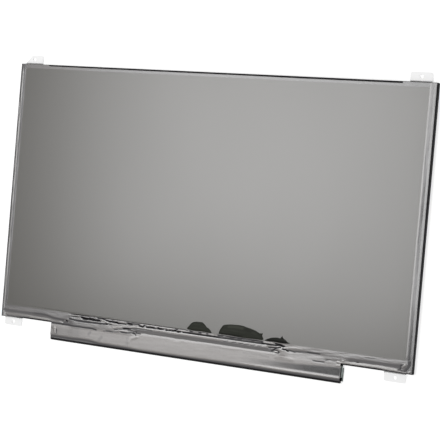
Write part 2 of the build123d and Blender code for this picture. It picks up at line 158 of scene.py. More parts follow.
def finish(name, dark, light, patches, roughness, grain, grain_depth, fixed=None):
    """Surface whose colour and roughness drift between two values, with a fine grain."""
    material, tree, shader = new_material(name)
    drift = noise(tree, patches)
    tree.links.new(ramp(tree, drift, [(0.3, dark), (0.7, light)]), shader.inputs["Base Color"])
    tree.links.new(span(tree, drift, *roughness), shader.inputs["Roughness"])
    relief(tree, shader, noise(tree, grain, 2.0), grain_depth)
    set_inputs(shader, fixed or {})
    return material


def cover_metal():
    """Satin sheet metal, rolled along X."""
    return finish(
        "cover_metal", dark=(0.88, 0.88, 0.88), light=(0.94, 0.94, 0.94), patches=(40, 90, 90),
        roughness=(0.52, 0.62), grain=(150, 5000, 5000), grain_depth=6e-6, fixed={"Metallic": 0.3},
    )


def frame_black():
    """Spark-textured black moulding."""
    return finish(
        "frame_black", dark=(0.006, 0.006, 0.007), light=(0.011, 0.011, 0.012), patches=120,
        roughness=(0.42, 0.55), grain=4000, grain_depth=1.5e-5,
        fixed={"Specular IOR Level": 0.03},
    )


def tape_black():
    """Thin black tape with faint ripples along its length."""
    return finish(
        "tape_black", dark=(0.005, 0.005, 0.006), light=(0.010, 0.010, 0.011), patches=(90, 90, 300),
        roughness=(0.34, 0.48), grain=(250, 250, 900), grain_depth=2e-5, fixed={"Specular IOR Level": 0.03},
    )


def polariser_grey():
    """Smooth neutral polariser under the film."""
    return finish(
        "polariser_grey", dark=(0.055, 0.056, 0.054), light=(0.062, 0.062, 0.060), patches=30,
        roughness=(0.18, 0.24), grain=3000, grain_depth=1e-6, fixed={"IOR": 1.5},
    )


def panel_glass():
    """Thin glass with a green cast in its edges."""
    return finish(
        "panel_glass", dark=(0.035, 0.045, 0.040), light=(0.045, 0.058, 0.051), patches=60,
        roughness=(0.04, 0.08), grain=1500, grain_depth=1e-6, fixed={"IOR": 1.52},
    )


def sheet_white():
    """White reflecting film."""
    return finish(
        "sheet_white", dark=(0.82, 0.82, 0.81), light=(0.88, 0.88, 0.87), patches=50,
        roughness=(0.35, 0.5), grain=2500, grain_depth=4e-6,
    )


def guide_clear():
    """Clear acrylic plate, seen as a pale edge."""
    return finish(
        "guide_clear", dark=(0.70, 0.73, 0.73), light=(0.78, 0.80, 0.80), patches=50,
        roughness=(0.08, 0.14), grain=2000, grain_depth=1e-6, fixed={"IOR": 1.49},
    )


def led_yellow():
    """Phosphor windows in pale bodies."""
    return finish(
        "led_yellow", dark=(0.72, 0.60, 0.22), light=(0.80, 0.70, 0.30), patches=900,
        roughness=(0.4, 0.55), grain=6000, grain_depth=3e-6,
    )


def flex_amber():
    """Amber flexible circuit with copper showing through."""
    return finish(
        "flex_amber", dark=(0.22, 0.12, 0.04), light=(0.36, 0.21, 0.08), patches=(1200, 60, 60),
        roughness=(0.28, 0.4), grain=(2500, 200, 200), grain_depth=6e-6,
    )


def chip_black():
    """Black moulding compound."""
    return finish(
        "chip_black", dark=(0.010, 0.010, 0.011), light=(0.020, 0.020, 0.021), patches=700,
        roughness=(0.45, 0.6), grain=9000, grain_depth=8e-6,
    )


def board_green():
    """Green solder mask over copper."""
    return finish(
        "board_green", dark=(0.010, 0.060, 0.025), light=(0.020, 0.105, 0.045), patches=(180, 500, 500),
        roughness=(0.25, 0.38), grain=(900, 2500, 2500), grain_depth=8e-6,
    )


def socket_white():
    """Natural moulded nylon."""
    return finish(
        "socket_white", dark=(0.62, 0.59, 0.52), light=(0.72, 0.69, 0.62), patches=400,
        roughness=(0.4, 0.55), grain=6000, grain_depth=5e-6,
    )


def socket_steel():
    """Stamped bright steel."""
    return finish(
        "socket_steel", dark=(0.55, 0.55, 0.54), light=(0.68, 0.68, 0.67), patches=(600, 300, 300),
        roughness=(0.2, 0.32), grain=(8000, 900, 900), grain_depth=3e-6, fixed={"Metallic": 1.0},
    )


def contact_gold():
    """Gold plating on the contacts."""
    return finish(
        "contact_gold", dark=(0.72, 0.50, 0.16), light=(0.82, 0.60, 0.22), patches=900,
        roughness=(0.16, 0.26), grain=6000, grain_depth=2e-6, fixed={"Metallic": 1.0},
    )


def capacitor_tan():
    """Sintered chip capacitors."""
    return finish(
        "capacitor_tan", dark=(0.26, 0.19, 0.12), light=(0.36, 0.27, 0.18), patches=1500,
        roughness=(0.45, 0.6), grain=9000, grain_depth=5e-6,
    )


def film_face():
    """Clear film stuck flat on the polariser: a smooth grey face with a soft gloss and faint smears."""
    material, tree, shader = new_material("film_face")
    smear = noise(tree, (14, 9, 9), 4.0)
    colours = ramp(tree, smear, [(0.3, (0.030, 0.026, 0.017)), (0.7, (0.035, 0.031, 0.022))])
    tree.links.new(colours, shader.inputs["Base Color"])
    tree.links.new(span(tree, smear, 0.28, 0.30), shader.inputs["Roughness"])
    relief(tree, shader, noise(tree, (60, 45, 45), 2.0), 2e-6)
    set_inputs(shader, {"IOR": 2.0})
    return material


def toned(tree, shader, dark, middle, light):
    """Colour by the film's tone, from dark where it lies on black pieces to light where it stands off; the
    light, silvery end is haze with painted reflection of the film over its air gap.
    """
    tone = tree.nodes.new("ShaderNodeAttribute")
    tone.attribute_name = "tone"
    colours = ramp(tree, tone.outputs["Fac"], [(0.0, dark), (0.45, middle), (1.0, light)])
    tree.links.new(colours, shader.inputs["Base Color"])


def film_finish(name, middle, light, roughness, grain, grain_depth, fixed):
    """Film whose colour follows its tone, from black through two greys, with a fine grain."""
    material, tree, shader = new_material(name)
    toned(tree, shader, (0.004, 0.004, 0.004), middle, light)
    tree.links.new(span(tree, noise(tree, 500), *roughness), shader.inputs["Roughness"])
    relief(tree, shader, noise(tree, grain, 2.0), grain_depth)
    set_inputs(shader, fixed)
    return material


def film_loose():
    """Loose film: glossy, and silvery from haze with painted reflection."""
    return film_finish(
        "film_loose", middle=(0.077, 0.073, 0.075), light=(0.213, 0.198, 0.189), roughness=(0.20, 0.25),
        grain=(350, 700, 350), grain_depth=6e-6, fixed={"IOR": 2.0},
    )


def film_stuck():
    """Film that clings to black pieces, with little gloss left."""
    return film_finish(
        "film_stuck", middle=(0.075, 0.073, 0.076), light=(0.205, 0.199, 0.200), roughness=(0.30, 0.40),
        grain=(350, 900, 350), grain_depth=1e-5, fixed={"Specular IOR Level": 0.05},
    )


def film_end():
    """Free end of the film past the strip, pale and greenish against the light."""
    material, tree, shader = new_material("film_end")
    streak = noise(tree, (900, 250, 250))
    colours = ramp(tree, streak, [(0.35, (0.13, 0.16, 0.15)), (0.65, (0.44, 0.50, 0.48))])
    tree.links.new(colours, shader.inputs["Base Color"])
    set_inputs(shader, {"Roughness": 0.35})
    return material


def blister_dark():
    """Dark olive patch in the film, with faint streaks along the screen."""
    material, tree, shader = new_material("blister_dark")
    streak = noise(tree, (90, 900, 900))
    toned(tree, shader, (0.0015, 0.0016, 0.0012), (0.022, 0.0238, 0.0175), (0.050, 0.053, 0.042))
    tree.links.new(span(tree, streak, 0.45, 0.6), shader.inputs["Roughness"])
    relief(tree, shader, streak, 2e-5)
    set_inputs(shader, {"Specular IOR Level": 0.15})
    return material


FINISHES = (
    cover_metal, frame_black, tape_black, polariser_grey, panel_glass, sheet_white, guide_clear, led_yellow,
    flex_amber, chip_black, board_green, socket_white, socket_steel, contact_gold, capacitor_tan,
)
materials = {made.__name__: made() for made in FINISHES}

slots = {part["node"]: part["material_slot"] for part in frame["record"]["subparts"]}
for name, piece in frame["nodes"].items():
    if slots[name] in materials:
        piece.data.materials.clear()
        piece.data.materials.append(materials[slots[name]])


# Protective film: sizes in millimetres

film_sheet = 0.08
film_gap = 0.02
film_upper_bare = 1.1
film_lower_bare = 0.9
left_overhang = 0.65
right_bare = 0.3
left_corner_sag = 0.5
right_corner_sag = 0.4
strip_overhang = 0.5
tongue_reach = 1.3
end_droop = 2.0
end_black = 0.7
end_high = -89.7
end_low = -97.2
end_widest = -92.3
end_tip = 0.2
rear_leg = 8.5
flap_reach = 3.9
chip_fade = 7.0
chip_grip = 2.0
flex_fade = 6.0
streak_drop = 1.1
soft_corner = 0.5
crisp_corner = 0.2
ledge_wave = 0.13
ledge_wave_middle = 4.4
ledge_wave_width = 1.6
hollow_drop = 0.20
hollow_rounding = 0.5
hollow_floor = -96.3
hollow_end = -97.3
wrinkle_height = 0.024
fine_wrinkle = 0.012
crumple_height = 0.022
edge_lift = 0.03
edge_ramp = 0.8
side_rise = 0.06
side_sag = 0.12

# Tone of single places, and strength of the blotches
first_blister_tone = 0.56
second_blister_tone = 0.40
flex_tone = 0.55
band_tone = 0.34
fold_tone = 0.06
rear_tone = 0.9
blotch_shade = 0.35
blotch_cling = 0.7

# Stretches of the film along its run, and its materials
UPPER_BARE, UPPER, FACE, BORDER, STRIP, TURN, REAR = range(7)
LOOSE, FLAT, STUCK, FREE_END = range(4)

# Distance between the film's points
side_pitch = 0.30
middle_pitch = 0.50
border_pitch = 0.21
upper_pitch = 0.35
face_pitch = 1.5
strip_pitch = 0.40
rear_pitch = 2.8
fold_steps = 9

film_low, film_high = corners("protective_film")
face_low, face_high = corners("front_polariser")
body_low = corners("mould_frame")[0]
board_low, board_high = corners("driver_board")
first_chip_low = corners("driver_ic_1")[0]
last_chip_high = corners("driver_ic_4")[1]
flex_low, flex_high = corners("glass_flex")
top_tape_high = corners("top_edge_tape")[1]

film_left = film_low[0] - left_overhang
film_right = film_high[0] - right_bare
flap_end = film_low[0] + flap_reach
strip_left = board_low[0] - strip_overhang
strip_right = board_high[0] + strip_overhang
tongue_right = strip_right + tongue_reach
corner_start = top_tape_high[0]
bare_line = film_high[1] - film_upper_bare
rail_line = body_low[1] + film_lower_bare
fold_line = board_low[1]
fold_reach = board_low[1] - film_low[1]

z_face = face_high[2] + film_sheet
z_board = flex_high[2] + film_gap + film_sheet
z_rear = film_low[2]

# Height of the film by distance below the face: plain border, chips, flexible circuit and bare ledge
TENTED = [(0, 0.60), (3.3, 0.62), (5.2, 0.27), (6.9, 0.34), (8.1, 0.36), (9.6, 0.40), (17.5, 0.54)]
PRESSED = [(0, 0.60), (0.35, 0.47), (1.2, 0.50), (2.2, 0.43), (2.7, 0.45), (3.5, 0.53)]
OVER_CHIPS = PRESSED + [(7.2, 0.52), (9.6, 0.44), (17.5, 0.56)]
OVER_FLEX = PRESSED + [(4.2, 0.51), (6.6, 0.28), (7.7, 0.38), (17.5, 0.53)]
OVER_LEDGE = [(0, 0.60), (2.8, 0.60), (4, 0.47), (9, 0.59), (17.5, 0.66)]

# Tone of the loose film along X, from 0 for black to 1 for silvery: below and above the face, on the strip.
# Its changes along X follow the brightness of the film's sheen, partly painted reflection
BORDER_TONE = [(-152, 0.55), (-96, 0.60), (-60, 0.88), (60, 0.88), (110, 0.68), (152, 0.60)]
UPPER_TONE = [(-150, 0.69), (-110, 0.63), (-92, 0.50), (-74, 0.32), (60, 0.32), (110, 0.22), (142, 0.08)]
STRIP_TONE = [(-111, 0.84), (-97, 0.80), (-88, 0.78), (-85, 0.92), (-75, 1), (40, 1), (106, 0.88)]

# Slip of the film's upper edge upwards, by X, and of its right edge outwards, by Y
UPPER_SLIP = [(-130, 0.26), (-100, 0.22), (20, 0.26), (60, 0.12), (130, 0.15)]
RIGHT_SLIP = [(-86, 0.22), (-56, 0.22), (-45, 0.12), (15, 0.05), (86, -0.05)]

# Upper edge of the dark band along the fold: black tape seen through the film, with painted shade where the
# film rounds over the board's edge
BAND_EDGE = [(-111, -96.7), (-92, -96.9), (-85, -96.5), (-78, -96.6), (-70, -97.5), (-48, -97.8)]
BAND_EDGE += [(-38, -98.2), (0, -98), (20, -97.7), (45, -97.6), (70, -97.7), (106, -97.4)]

# Upper edge of the hollow in the strip's right half
HOLLOW_EDGE = [(40, -92.2), (75, -91.8), (95, -90.7), (106, -90.2)]

# Share of the tone that painted shade in the hollow takes away
HOLLOW_SHADE = [(36, 0), (44, 0.20), (54, 0.28), (64, 0.42), (74, 0.48), (84, 0.82), (94, 0.90), (105, 1)]

# Where forms of the film rise, are full, fade and end along X
LOW_STREAK = (-116, -106, -90, -80)
LEDGE = (0, 1, strip_right + 2, strip_right + 8)
UNDER_FIRST = (-6, -4, 13, 15)
UNDER_SECOND = (17.6, 19.2, 50.5, 52.5)

# The same by distance below the face
CRUMPLED = (0.2, 0.8, 2.3, 2.9)
BLOTCHED = (0.3, 0.8, 2.4, 3)
UNDER_BLISTERS = (0, 0.2, 2.3, 2.7)
FLEX_BAND = (4, 4.4, 6.4, 6.9)

# Start and end of smooth steps along X
HOLLOW_GROWS = (36, 92)
LEDGE_WAVE_GROWS = (89, 97)
CRUMPLE_ENDS = (14, 17)
BLOTCHES_END = (-6, -3)
LEFT_SAG_GROWS = (-131, -141)
RIGHT_SAG_GROWS = (130, 137)

# Start and end of smooth steps along Y
LEFT_LINE_ENDS = (83, 85.5)
HOLLOW_SHADE_ENDS = (-95, -96.9)

# Start and end of smooth steps below and beside the face, and past the edges of the hollow, band and fold
SAG_DEEPENS = (4, 7.1)
STRIP_STARTS = (7.6, 8.8)
FLAP_STARTS = (0.6, 2.2)
HOLLOW_SHADE_STARTS = (0, 1.2)
BAND_SINKS = (-0.3, 1.5)
BAND_STARTS = (0, 0.6)
FOLD_STARTS = (-0.5, 0)

Fold = namedtuple("Fold", "points width tone lift")

# Folds of the loose film: points, half width, tone and height. Raised ones shine and carry a light tone, a
# painted highlight; pressed ones cling dark, partly black pieces seen through the film and partly painted
# shade
FOLDS_WITH_PAINTED_LIGHT = [
    # Long soft streaks at the left
    Fold([(-150, -84.3), (-140, -84.6), (-133, -84.6), (-127, -84.3)], 0.7, 0.68, -0.04),
    Fold([(-124, -84.2), (-119, -83.9), (-114, -84.3), (-109, -85.3), (-99, -85.9)], 0.6, 0.55, -0.05),
    Fold(
        [(-148, -86.5), (-136, -86.4), (-128, -86.6), (-116, -86.8), (-109, -87.2), (-102, -87.5)],
        0.6, 0.78, 0.04,
    ),
    Fold([(-128, -87), (-120, -86.9), (-113, -87.1)], 0.45, 0.95, 0.02),
    Fold([(-100, -87.6), (-95, -87.8)], 0.7, 0.65, -0.03),
    Fold([(-97.9, -86), (-97.3, -86.2)], 0.65, 0.05, -0.08),
    Fold([(-99.3, -86.2), (-98.9, -85.9)], 0.35, 1, 0.1),
    Fold([(-97, -84.9), (-96.2, -84.8)], 0.3, 0.9, 0.06),
    Fold([(-96.4, -86.9), (-95.6, -87.2)], 0.3, 0.8, 0.06),
    # Black lines and glints along the first chips: the top line is partly a painted shadow of the gap at the
    # face's lower edge, and the glints are painted highlights
    Fold([(-94.2, -80.9), (-88, -80.85), (-80, -80.85)], 0.36, 0, -0.05),
    Fold([(-80, -80.8), (-70, -80.8), (-60, -80.8)], 0.26, 0.18, -0.05),
    Fold([(-93.5, -81.7), (-88.5, -81.6)], 0.24, 0.9, 0.05),
    Fold([(-94, -82.5), (-90.5, -82.2), (-87.5, -82.5)], 0.28, 0.05, -0.05),
    Fold([(-88.6, -83.1), (-86.2, -82.9)], 0.4, 1, 0.07),
    Fold(
        [(-86, -82.3), (-83, -82.7), (-80, -82.6), (-77.5, -83.1), (-75, -82.9), (-70.6, -82.8)],
        0.66, 0, -0.1,
    ),
    Fold([(-84.6, -83.5), (-81.2, -83.4)], 0.25, 0.05, -0.08),
    Fold([(-79.2, -82), (-75.4, -82.2)], 0.3, 0.05, -0.08),
    Fold([(-82.8, -81.6), (-80, -81.8)], 0.24, 0.85, 0.05),
    Fold([(-79.4, -83.6), (-76.8, -83.8)], 0.22, 0.95, 0.06),
    Fold([(-73, -81.5), (-68, -81.3)], 0.3, 0.2, -0.04),
    Fold([(-68.8, -81.5), (-66.5, -82), (-63, -82.4), (-58, -82.2), (-56.4, -81.9)], 0.52, 0, -0.1),
    Fold([(-70.3, -82.6), (-68.5, -82.3), (-66.8, -82.8)], 0.48, 1, 0.07),
    Fold([(-95.5, -84.3), (-90, -84.9), (-80, -84.9), (-70, -84.7), (-65.5, -84.4)], 0.65, 0.36, -0.05),
    Fold([(-66, -84.3), (-61.8, -84.2)], 0.4, 0, -0.08),
    # Panel's lower edge, seen through the film
    Fold([(-112, -88.7), (-95, -88.9), (-85, -89), (-77, -88.8), (-73.5, -89.4)], 0.52, 0.32, -0.03),
    Fold([(-67.8, -89.5), (-65.5, -89.2)], 0.28, 0.5, -0.02),
    Fold([(-65.5, -89.2), (-63, -88.9), (-60.5, -89.1)], 0.34, 0.3, -0.03),
    Fold([(-60.5, -89.1), (-56, -88.6)], 0.24, 0.55, -0.02),
    # Crinkled line along the middle chips, under a thin painted shadow of the gap at the face's lower edge;
    # its glints are painted highlights
    Fold([(-60, -80.75), (-50, -80.8), (-30, -80.75), (-5, -80.8)], 0.26, 0.12, -0.04),
    Fold([(-60, -81.45), (-46, -81.4), (-30, -81.4), (-5, -81.45)], 0.3, 0.95, 0.02),
    Fold([(-60.5, -82.4), (-57.2, -82.5)], 0.55, 0, -0.08),
    Fold([(-57, -82.9), (-53, -82.7), (-50.5, -82.9)], 0.38, 0.05, -0.06),
    Fold([(-56.5, -81.9), (-54, -81.4)], 0.36, 1, 0.07),
    Fold([(-53.5, -82), (-51, -81.5)], 0.36, 1, 0.07),
    Fold([(-49.8, -81.8), (-45.8, -82)], 0.5, 0, -0.08),
    Fold([(-46, -81.7), (-40, -81.5)], 0.28, 0.1, -0.04),
    Fold([(-45, -82.7), (-41, -82.5)], 0.32, 0.95, 0.06),
    Fold(
        [(-40.2, -82.4), (-37.5, -82.9), (-36.2, -81.7), (-34.4, -82.8), (-31.5, -82.3), (-28, -82.6)],
        0.46, 0, -0.08,
    ),
    Fold([(-39.4, -81.5), (-37.6, -81.9)], 0.3, 1, 0.06),
    Fold([(-35.7, -82.7), (-35.1, -81.8)], 0.22, 1, 0.06),
    Fold([(-33.5, -81.7), (-30.5, -81.3)], 0.32, 1, 0.06),
    Fold([(-26.5, -81.8), (-24.6, -82.4)], 0.52, 0, -0.06),
    Fold([(-24, -82.6), (-21.6, -82.4)], 0.52, 0, -0.06),
    Fold([(-19.8, -82.8), (-16.2, -82.5)], 0.52, 0, -0.06),
    Fold([(-15.2, -82.7), (-12.2, -82.3)], 0.52, 0, -0.06),
    Fold([(-11.2, -82.7), (-8.8, -82.4)], 0.52, 0, -0.06),
    Fold([(-13.2, -81.9), (-11.2, -81.3)], 0.3, 0.08, -0.06),
    Fold([(-27.8, -82.2), (-26.2, -81.4)], 0.3, 1, 0.06),
    Fold([(-22.5, -81.7), (-19.5, -81.3)], 0.32, 1, 0.06),
    Fold([(-18.5, -81.9), (-15, -81.4)], 0.32, 1, 0.06),
    Fold([(-9.8, -81.8), (-7.2, -81.4)], 0.32, 1, 0.06),
    # Forked crinkle at the flexible circuit's left end
    Fold([(-60, -86), (-54, -85)], 0.6, 1, 0.02),
    Fold([(-52.2, -85.9), (-49.5, -85.6), (-47, -85.5)], 0.62, 0, -0.1),
    Fold([(-47.5, -85.4), (-42, -84.6), (-30, -84.6)], 0.28, 0.28, -0.05),
    Fold([(-59.5, -87.4), (-56.4, -86.8)], 0.34, 0.25, -0.05),
    Fold([(-55.6, -86.7), (-52.5, -86.3)], 0.3, 0.4, -0.03),
    Fold([(-54.2, -88.3), (-50, -88.5), (-46, -87.9), (-43.6, -88), (-42.4, -89.1)], 0.42, 0.2, -0.06),
    Fold([(-44.4, -88.6), (-42, -87.4)], 0.3, 0.2, -0.05),
    Fold([(-41.5, -87.7), (-38.5, -87.9)], 0.45, 0.55, -0.02),
    Fold([(-38, -88), (-25, -87.8)], 0.5, 0.86, 0),
    Fold([(-48.5, -86.9), (-45, -86.6)], 0.3, 0.22, -0.04),
    Fold([(-46.5, -85.9), (-43, -86.2)], 0.25, 0.85, 0.06),
    Fold([(-44.5, -87.2), (-41.5, -86.7)], 0.25, 0.2, -0.04),
    Fold([(-58, -88.4), (-55.5, -87.6), (-53, -87.4)], 0.3, 0.95, 0.06),
    # Bright line above the flexible circuit: a painted highlight on a low ridge
    Fold([(-62, -83.7), (-45, -83.5), (-30, -83.8), (0, -83.8), (22, -83.7)], 0.3, 1, 0.06),
    Fold([(22, -83.7), (57, -83.6)], 0.28, 0.75, 0.03),
    # Under the blisters
    Fold([(-7, -82.6), (4, -82.6), (14, -82.6), (18, -82.7)], 0.42, 0.06, -0.05),
    Fold([(-4.5, -81.8), (-2.5, -81.4)], 0.36, 0.95, 0.1),
    Fold([(-2, -81), (0.4, -81.1)], 0.3, 0.25, -0.04),
    Fold([(0.8, -81.5), (4, -81.4)], 0.55, 0.7, 0.06),
    Fold([(4.6, -81), (6.6, -81.2)], 0.3, 0.25, -0.04),
    Fold([(7.2, -81.6), (9.9, -81.7)], 0.48, 0.8, 0.08),
    Fold([(12, -81.4), (13.4, -81.3)], 0.38, 1, 0.14),
    Fold([(14.5, -81.5), (17, -81)], 0.55, 0.95, 0.06),
    Fold([(16, -82.3), (18.6, -82.6)], 0.35, 0.05, -0.06),
    Fold([(19, -82.9), (35, -82.75), (52, -82.85)], 0.26, 0.22, -0.05),
    # Swirl at the flexible circuit's right end
    Fold([(50.5, -82.4), (56, -82.6), (61, -82.5)], 0.5, 0.08, -0.05),
    Fold([(60, -82.4), (63, -82.2), (66, -82.9)], 0.42, 0.03, -0.06),
    Fold([(59.5, -81.3), (63.5, -81.6), (66.5, -82.4)], 0.4, 0, -0.08),
    Fold([(52, -81.5), (58, -81.4)], 0.3, 0.95, 0.1),
    Fold([(54, -83.3), (60, -83.1)], 0.25, 1, 0.12),
    Fold([(55.5, -84.5), (60.5, -84), (63.8, -83.4)], 0.35, 0.05, -0.08),
    Fold([(57.5, -85), (62, -84.5)], 0.25, 1, 0.12),
    Fold([(65, -84.2), (67.5, -84.4), (69.2, -85.1)], 0.5, 0, -0.08),
    Fold([(64.3, -83.7), (63.9, -85)], 0.25, 1, 0.12),
    Fold([(57.4, -86.3), (60, -85.6), (62.6, -85.9), (63.1, -86.8), (61, -87.3)], 0.28, 0.1, -0.06),
    Fold([(62.6, -83.7), (60.4, -84.5), (57.8, -86)], 0.36, 0.15, -0.05),
    Fold([(57.6, -86.7), (62.6, -87.3)], 0.26, 0.35, -0.03),
    Fold([(59.6, -86.6), (61.8, -86.5)], 0.25, 1, 0.1),
    Fold([(69.5, -84.3), (74.2, -85.1)], 0.45, 0.45, -0.04),
    Fold([(66, -83.4), (71, -82.8), (78, -82.6)], 0.5, 0.95, 0.03),
    # Soft streaks at the right
    Fold([(74, -84.6), (79, -84.3), (83, -84), (91, -84)], 0.5, 0.62, -0.04),
    Fold([(82.5, -83.9), (90.5, -84)], 0.38, 0.35, -0.04),
    Fold([(86.5, -88.7), (90, -88.8), (94.2, -88.6)], 0.36, 0.25, -0.04),
    Fold([(95, -87.2), (98.2, -86.6)], 0.36, 0.48, -0.03),
    Fold([(98.2, -86.7), (103.5, -87)], 0.7, 0.66, 0),
    Fold([(111, -85.2), (116, -85), (130, -84.6), (146, -84.5)], 0.85, 0.72, -0.05),
    Fold([(115.6, -85.7), (116.6, -85.7)], 0.4, 0.3, -0.05),
    Fold([(121, -82.4), (127.5, -81.9)], 0.2, 0.5, -0.03),
    Fold([(103, -87.3), (115, -87), (130, -86.6), (147, -86.9)], 0.65, 0.95, 0.05),
    Fold([(103, -87.5), (103.6, -87.4)], 0.32, 1, 0.12),
    Fold([(106, -86.4), (107.2, -86.2)], 0.32, 1, 0.12),
    # Crumpled lower right corner: painted shade in the dark channel, painted highlights on the glints
    Fold([(149.3, -80.6), (149.7, -83.2), (148.7, -84.9), (147, -86.6)], 0.75, 0.55, -0.04),
    Fold([(145.6, -83.3), (144.2, -83.8), (144.3, -85.2), (143.7, -86.4)], 0.35, 0.32, -0.08),
    Fold([(145.1, -84.8), (147.1, -83.1)], 0.45, 1, 0.18),
    Fold([(142.6, -86.4), (145.6, -86.7)], 0.45, 0.6, -0.04),
    Fold([(149.2, -87.3), (150.3, -86.7)], 0.35, 1, 0.1),
    # Strip's left end
    Fold([(-109, -91.5), (-108.5, -92.7)], 0.3, 0.5, -0.04),
    Fold([(-108.2, -92.3), (-107.2, -91.9)], 0.48, 1, 0.15),
    Fold([(-106.8, -93.2), (-106.5, -95.6)], 0.45, 1, 0.14),
    Fold([(-105.6, -92.6), (-105.3, -96)], 0.4, 0.5, -0.04),
    # Darker patches and a soft bright arc on the strip: painted shade and a painted highlight in the film's
    # sheen
    Fold([(-79.2, -93), (-78, -91.7)], 0.95, 0.74, 0),
    Fold([(-70.5, -95.7), (-68.8, -93.8)], 1.05, 0.76, 0),
    Fold([(-109, -90.5), (-94, -90.5)], 0.8, 0.94, 0),
    Fold([(-41, -90.2), (-45.5, -91.6), (-47, -94), (-47, -97)], 0.8, 1, 0.05),
    Fold([(-48.4, -91.6), (-48.9, -96.8)], 1.1, 0.88, 0),
    Fold([(12, -89.7), (18, -89.6), (24, -89.3)], 0.45, 0.84, 0),
    Fold([(13, -91), (21, -91.3)], 0.45, 0.92, 0),
    Fold([(22, -88.9), (34, -88.6)], 0.5, 1, 0.012),
    Fold([(38, -90), (48, -89.9), (56, -90.6)], 0.6, 0.83, 0),
    Fold([(61, -89.8), (66, -90), (72, -89.9)], 1, 1, 0.035),
    # Ridge of the strip's right half, lightened by a painted highlight
    Fold([(31, -97.1), (58, -97.2)], 0.45, 1, 0.015),
    Fold([(56, -97.2), (76, -97.1)], 0.36, 1, 0.02),
    Fold([(76, -97.1), (107, -97)], 0.34, 0.82, 0.012),
    Fold([(102.8, -89.5), (105.5, -89.3)], 0.4, 1, 0.12),
]

# Short slanting dashes under the second blister: light ones and dark ones
FOLDS_WITH_PAINTED_LIGHT += [Fold([(x, -82.2), (x + 4.4, -81.5)], 0.18, 0.62, 0.03) for x in (20.5, 25.2, 30.5, 36, 40.6, 45)]
FOLDS_WITH_PAINTED_LIGHT += [Fold([(x, -81.7), (x + 3.6, -81.1)], 0.2, 0.18, -0.03) for x in (21, 27.5, 33, 37, 43, 46.5)]

# Short dark dashes under the bright line
FOLDS_WITH_PAINTED_LIGHT += [Fold([(x, -84.8), (x + 3.2, -84.3)], 0.2, 0.3, -0.04) for x in (23, 29, 34, 38, 42.5, 47)]


def steps(start, end, pitch):
    """Even steps from start up to, but not at, the end."""
    return np.linspace(start, end, max(1, round(abs(end - start) / pitch)), endpoint=False)


def along(value, pairs):
    """Straight interpolation through (place, number) pairs."""
    places, numbers = zip(*pairs)
    return np.interp(value, places, numbers)


def rounded_along(value, pairs, radius):
    """The same with its corners rounded."""
    return np.mean([along(value + offset, pairs) for offset in np.linspace(-radius, radius, 9)], axis=0)


def film_rows():
    """Rows of the film from its top edge to the end of its rear leg: place, normal, run and stretch."""
    flats = [
        steps(film_high[1], bare_line, upper_pitch),
        steps(bare_line, face_high[1], upper_pitch),
        steps(face_high[1], face_low[1], face_pitch),
        steps(face_low[1], rail_line, border_pitch),
        steps(rail_line, fold_line, strip_pitch),
    ]
    stretch = np.concatenate([np.full(len(part), index) for index, part in enumerate(flats)])
    y = np.concatenate(flats)
    flat = np.zeros_like(y)

    turn = steps(0, math.pi, math.pi / fold_steps)
    middle = (z_board + z_rear) / 2
    radius = (z_board - z_rear) / 2
    rear = np.append(steps(fold_line, fold_line + rear_leg, rear_pitch), fold_line + rear_leg)
    fold_end = fold_line - math.pi * radius
    return {
        "y": np.concatenate([y, fold_line - fold_reach * np.sin(turn), rear]),
        "z": np.concatenate([flat + z_board, middle + radius * np.cos(turn), np.full(len(rear), z_rear)]),
        "normal_y": np.concatenate([flat, -np.sin(turn), np.zeros(len(rear))]),
        "normal_z": np.concatenate([flat + 1, np.cos(turn), -np.ones(len(rear))]),
        "unrolled": np.concatenate([y, fold_line - radius * turn, fold_end - (rear - fold_line)]),
        "stretch": np.concatenate([stretch, np.full(len(turn), TURN), np.full(len(rear), REAR)]),
    }


def film_columns():
    """Places along X, finer in the side borders and at the free end."""
    breaks = sorted(
        [film_left, flap_end, face_low[0], -corner_start, strip_left, strip_right]
        + [tongue_right, corner_start, face_high[0], film_right]
    )
    spans = []
    for start, end in zip(breaks, breaks[1:]):
        inside = start >= face_low[0] and end <= face_high[0] and start != strip_right
        spans.append(steps(start, end, middle_pitch if inside else side_pitch))
    return np.append(np.concatenate(spans), breaks[-1])


def film_cells(columns, rows):
    """Which cells of the grid the film fills, and which of them are the flat face."""
    x = (columns[1:] + columns[:-1])[None, :] / 2
    part = rows["stretch"][:-1, None]
    lower_end = rows["y"][1:, None]
    on_strip = (x > strip_left) & (x < strip_right)
    on_tongue = (x > strip_left) & (x < tongue_right)
    filled = np.repeat((part >= UPPER) & (part <= BORDER), x.shape[1], axis=1)
    filled |= (part == UPPER_BARE) & (abs(x) > corner_start)
    filled |= ((part == STRIP) | (part == TURN)) & on_strip
    filled |= (part == STRIP) & (x < flap_end) & (lower_end > body_low[1])
    filled |= (part == REAR) & on_tongue
    filled |= (part == STRIP) & on_tongue & (lower_end > end_low) & (lower_end < end_high)
    face = (part == FACE) & (x > face_low[0]) & (x < face_high[0])
    return filled, face


def past_strip(x, y):
    """Places of the film's free end past the strip, narrower towards its two tips."""
    above = (y - end_widest) / (end_high - end_widest)
    under = (end_widest - y) / (end_widest - end_low)
    share = np.where(y > end_widest, above, under)
    width = end_tip + (1 - end_tip) * np.sqrt(1 - np.clip(share, 0, 1) ** 2)
    return strip_right + (x - strip_right) * width


def near_chips(x):
    """1 along the driver chips, where the film is pressed down, and 0 away from them."""
    left, right = first_chip_low[0], last_chip_high[0]
    return window(x, left - chip_fade, left - chip_grip, right, right + chip_fade)


def near_flex(x, fade):
    """1 over the flexible circuit and 0 away from it, with its fade past the right end."""
    return window(x, flex_low[0] - flex_fade, flex_low[0], flex_high[0], flex_high[0] + fade)


def into_band(x, unrolled):
    """Distance past the upper edge of the dark band along the fold."""
    return along(x, BAND_EDGE) - unrolled


